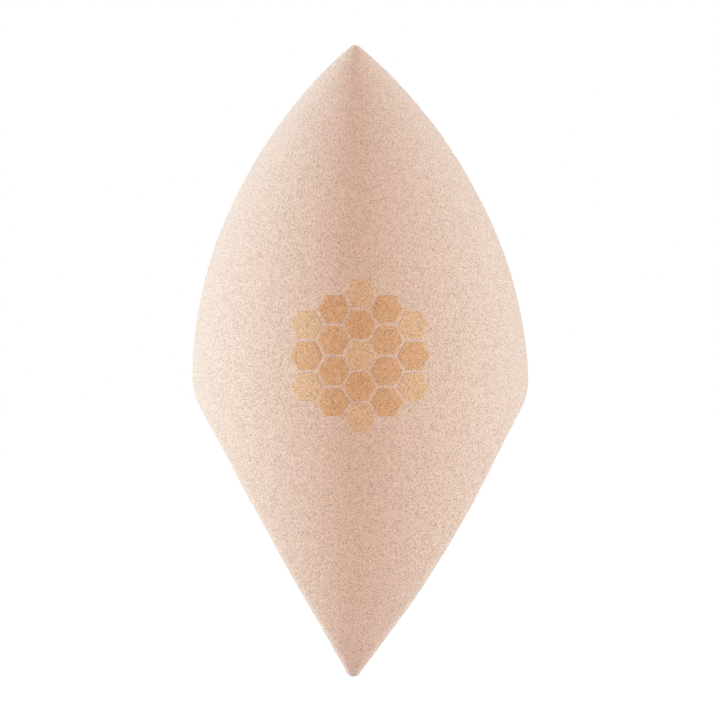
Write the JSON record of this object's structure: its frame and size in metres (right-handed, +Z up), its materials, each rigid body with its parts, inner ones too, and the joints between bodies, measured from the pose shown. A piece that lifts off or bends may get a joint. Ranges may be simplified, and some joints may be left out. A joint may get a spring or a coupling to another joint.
{
  "type": "makeup sponge",
  "caption": "Soft spindle-shaped foam makeup sponge with a pointed nose for small areas and flat bevelled sides meeting in a blunt edge, for blending make-up.",
  "frame": {"origin": "middle of the sponge's box, on its long axis", "axes": "+Z up the long axis to the pointed nose, +X to the right, and the printed front faces -Y"},
  "size_m": [0.04, 0.0401, 0.0748],
  "materials": {
    "foam": "matte",
    "ink_light": "matte",
    "ink_dark": "matte"
  },
  "bodies": {
    "root": {"foam_body": "foam", "print_middle_cell": "ink_light", "print_inner_cells": "ink_dark", "print_corner_cells": "ink_light", "print_side_cells": "ink_dark"}
  },
  "joints": []
}
